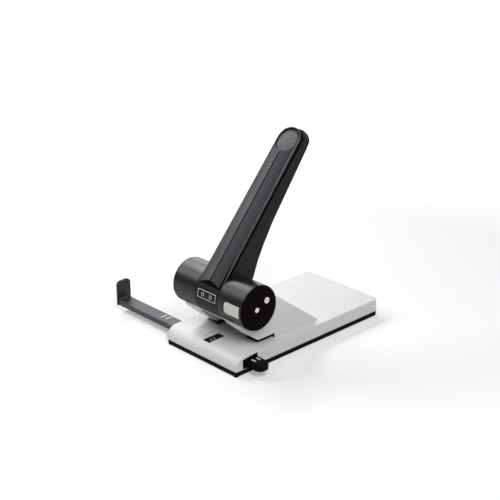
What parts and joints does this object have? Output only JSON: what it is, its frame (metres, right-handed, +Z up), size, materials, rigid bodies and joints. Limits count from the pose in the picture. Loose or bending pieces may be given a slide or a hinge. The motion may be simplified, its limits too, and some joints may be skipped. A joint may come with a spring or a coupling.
{
  "type": "hole punch",
  "caption": "Heavy-duty desk hole punch: long lever on a drum, sloped punch bridge over a paper slot, flat base with chip tray, and a sliding paper guide rail.",
  "frame": {"origin": "middle of the base's footprint, on the rest face under the chip tray", "axes": "+Z up, +Y to the rear of the base, +X along the drum to the end with the lock button"},
  "size_m": [0.2995, 0.278, 0.2886],
  "materials": {
    "painted_casting": "light grey painted die casting, satin",
    "drum_plastic": "satin moulded",
    "cap_plastic": "matt moulded",
    "white_plug": "moulded",
    "grey_button": "satin moulded",
    "lever_plastic": "fine spark-eroded texture",
    "pad_rubber": "smooth satin",
    "tray_plastic": "matt moulded",
    "black_plastic": "satin moulded",
    "rail_metal": "dark blue-grey anodised",
    "bronze_bush": "turned bronze",
    "plain_steel": "ground or drawn steel"
  },
  "bodies": {
    "base": {"base_casting": "painted_casting", "punch_bridge": "painted_casting", "drum_cover_left": "drum_plastic", "drum_cover_right": "drum_plastic", "end_cap_left": "cap_plastic", "end_cap_right": "cap_plastic", "axle_plugs": "white_plug", "cap_pins": "white_plug", "bearing_bush_left": "bronze_bush", "bearing_bush_right": "bronze_bush", "guide_bush_left": "bronze_bush", "guide_bush_right": "bronze_bush", "die_left": "plain_steel", "die_right": "plain_steel", "bridge_screws": "plain_steel", "rail_keeper": "plain_steel", "keeper_screws": "plain_steel", "rail_detent": "plain_steel", "window_insert": "black_plastic", "return_spring_left": "plain_steel", "return_spring_right": "plain_steel", "lock_spring": "plain_steel"},
    "lever": {"lever_shell": "lever_plastic", "lever_face": "lever_plastic", "palm_pad": "pad_rubber", "hub_pin": "plain_steel", "shaft": "plain_steel", "gear_left": "plain_steel", "gear_right": "plain_steel", "lock_cam": "plain_steel", "shaft_rings": "plain_steel"},
    "punch_left": {"rack_left": "plain_steel", "punch_pin_left": "plain_steel"},
    "punch_right": {"rack_right": "plain_steel", "punch_pin_right": "plain_steel"},
    "guide": {"guide_rail": "rail_metal", "rail_stop": "black_plastic", "rail_grip": "black_plastic"},
    "button": {"lock_button": "grey_button"},
    "tray": {"chip_tray": "tray_plastic"}
  },
  "joints": [
    {"name": "lever_press", "type": "hinge", "parent": "base", "child": "lever", "pos_m": [0, -0.0955, 0.0856], "axis": [-1, 0, 0], "range_deg": [0, 35], "stiffness_Nm_per_rad": 1, "springref_deg": -34.38},
    {"name": "punch_left_stroke", "type": "slide", "parent": "base", "child": "punch_left", "axis": [0, 0, -1], "range_m": [0, 0.0102], "deforming": ["return_spring_left"]},
    {"name": "punch_right_stroke", "type": "slide", "parent": "base", "child": "punch_right", "axis": [0, 0, -1], "range_m": [0, 0.0102], "deforming": ["return_spring_right"]},
    {"name": "guide_slide", "type": "slide", "parent": "base", "child": "guide", "axis": [1, 0, 0], "range_m": [0, 0.12]},
    {"name": "lock_push", "type": "slide", "parent": "base", "child": "button", "axis": [0, 0.9995, -0.0305], "range_m": [0, 0.0025], "stiffness_N_per_m": 600, "springref_m": -0.002, "deforming": ["lock_spring"]},
    {"name": "tray_swing", "type": "hinge", "parent": "base", "child": "tray", "pos_m": [0, 0.139, 0.0078], "axis": [1, 0, 0], "range_deg": [0, 50]}
  ],
  "couplings": [
    {"joint": "punch_left_stroke", "follows": "lever_press", "m_per_rad": 0.0165},
    {"joint": "punch_right_stroke", "follows": "lever_press", "m_per_rad": 0.0165}
  ]
}
